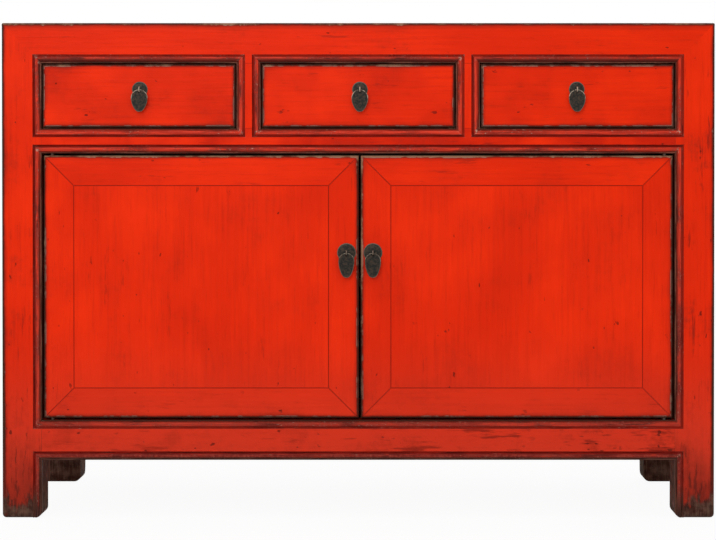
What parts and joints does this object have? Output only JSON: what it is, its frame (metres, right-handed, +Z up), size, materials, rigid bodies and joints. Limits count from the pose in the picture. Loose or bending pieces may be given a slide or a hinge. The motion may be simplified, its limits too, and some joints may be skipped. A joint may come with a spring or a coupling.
{
  "type": "sideboard",
  "caption": "Low lacquered east asian sideboard with a flush square-corner frame, beaded openings, a row of drawers over a pair of pivot-hung doors, straight feet and leaf drop pulls.",
  "frame": {"origin": "middle of the cabinet's plan at floor level, the pulls' reach included", "axes": "+X to the right seen from the front, +Y from the front to the back, +Z up"},
  "size_m": [1.27, 0.4113, 0.882],
  "materials": {
    "red_lacquer": "satin vermilion lacquer over elm, rubbed through to brown and black at the edges",
    "bare_wood": "unlacquered softwood of inner and back boards, browned with age",
    "bronze": "dark patinated bronze with rubbed rims",
    "iron": "dull forged iron"
  },
  "bodies": {
    "carcass": {"back_panel_lower": "bare_wood", "back_panel_upper": "bare_wood", "bottom_rail_back": "bare_wood", "bottom_rail_front": "red_lacquer", "bottom_rail_left": "red_lacquer", "bottom_rail_right": "red_lacquer", "divider_left": "red_lacquer", "divider_right": "red_lacquer", "drawer_runners": "bare_wood", "drawer_stops": "bare_wood", "floor_board": "bare_wood", "leg_back_left": "red_lacquer", "leg_back_right": "red_lacquer", "leg_front_left": "red_lacquer", "leg_front_right": "red_lacquer", "mid_rail_back": "bare_wood", "mid_rail_front": "red_lacquer", "panel_battens": "bare_wood", "shelf_board": "bare_wood", "shelf_cleats": "bare_wood", "side_panel_left": "red_lacquer", "side_panel_right": "red_lacquer", "top_panel": "red_lacquer", "top_rail_back": "red_lacquer", "top_rail_front": "red_lacquer", "top_rail_left": "red_lacquer", "top_rail_right": "red_lacquer"},
    "left_door": {"door_left_battens": "bare_wood", "door_left_panel": "red_lacquer", "door_left_pivot_pins": "iron", "door_left_pull_plate": "bronze", "door_left_rails": "red_lacquer", "door_left_stiles": "red_lacquer"},
    "left_door_drop": {"door_left_drop": "bronze"},
    "right_door": {"door_right_battens": "bare_wood", "door_right_panel": "red_lacquer", "door_right_pivot_pins": "iron", "door_right_pull_plate": "bronze", "door_right_rails": "red_lacquer", "door_right_stiles": "red_lacquer"},
    "right_door_drop": {"door_right_drop": "bronze"},
    "left_drawer": {"drawer_left_back": "bare_wood", "drawer_left_bottom": "bare_wood", "drawer_left_front": "red_lacquer", "drawer_left_pull_plate": "bronze", "drawer_left_sides": "bare_wood"},
    "left_drawer_drop": {"drawer_left_drop": "bronze"},
    "middle_drawer": {"drawer_middle_back": "bare_wood", "drawer_middle_bottom": "bare_wood", "drawer_middle_front": "red_lacquer", "drawer_middle_pull_plate": "bronze", "drawer_middle_sides": "bare_wood"},
    "middle_drawer_drop": {"drawer_middle_drop": "bronze"},
    "right_drawer": {"drawer_right_back": "bare_wood", "drawer_right_bottom": "bare_wood", "drawer_right_front": "red_lacquer", "drawer_right_pull_plate": "bronze", "drawer_right_sides": "bare_wood"},
    "right_drawer_drop": {"drawer_right_drop": "bronze"}
  },
  "joints": [
    {"name": "left_door_hinge", "type": "hinge", "parent": "carcass", "child": "left_door", "pos_m": [-0.5465, -0.18485, 0.412], "axis": [0, 0, -1], "range_deg": [0, 110]},
    {"name": "right_door_hinge", "type": "hinge", "parent": "carcass", "child": "right_door", "pos_m": [0.5465, -0.18485, 0.412], "axis": [0, 0, 1], "range_deg": [0, 110]},
    {"name": "left_drawer_slide", "type": "slide", "parent": "carcass", "child": "left_drawer", "axis": [0, -1, 0], "range_m": [0, 0.28]},
    {"name": "middle_drawer_slide", "type": "slide", "parent": "carcass", "child": "middle_drawer", "axis": [0, -1, 0], "range_m": [0, 0.28]},
    {"name": "right_drawer_slide", "type": "slide", "parent": "carcass", "child": "right_drawer", "axis": [0, -1, 0], "range_m": [0, 0.28]},
    {"name": "left_door_drop_swing", "type": "hinge", "parent": "left_door", "child": "left_door_drop", "pos_m": [-0.0209, -0.20065, 0.473], "axis": [-1, 0, 0], "range_deg": [0, 115]},
    {"name": "right_door_drop_swing", "type": "hinge", "parent": "right_door", "child": "right_door_drop", "pos_m": [0.0261, -0.20065, 0.473], "axis": [-1, 0, 0], "range_deg": [0, 115]},
    {"name": "left_drawer_drop_swing", "type": "hinge", "parent": "left_drawer", "child": "left_drawer_drop", "pos_m": [-0.38882, -0.20065, 0.7635], "axis": [-1, 0, 0], "range_deg": [0, 115]},
    {"name": "middle_drawer_drop_swing", "type": "hinge", "parent": "middle_drawer", "child": "middle_drawer_drop", "pos_m": [0.003, -0.20065, 0.7635], "axis": [-1, 0, 0], "range_deg": [0, 115]},
    {"name": "right_drawer_drop_swing", "type": "hinge", "parent": "right_drawer", "child": "right_drawer_drop", "pos_m": [0.38902, -0.20065, 0.7635], "axis": [-1, 0, 0], "range_deg": [0, 115]}
  ]
}
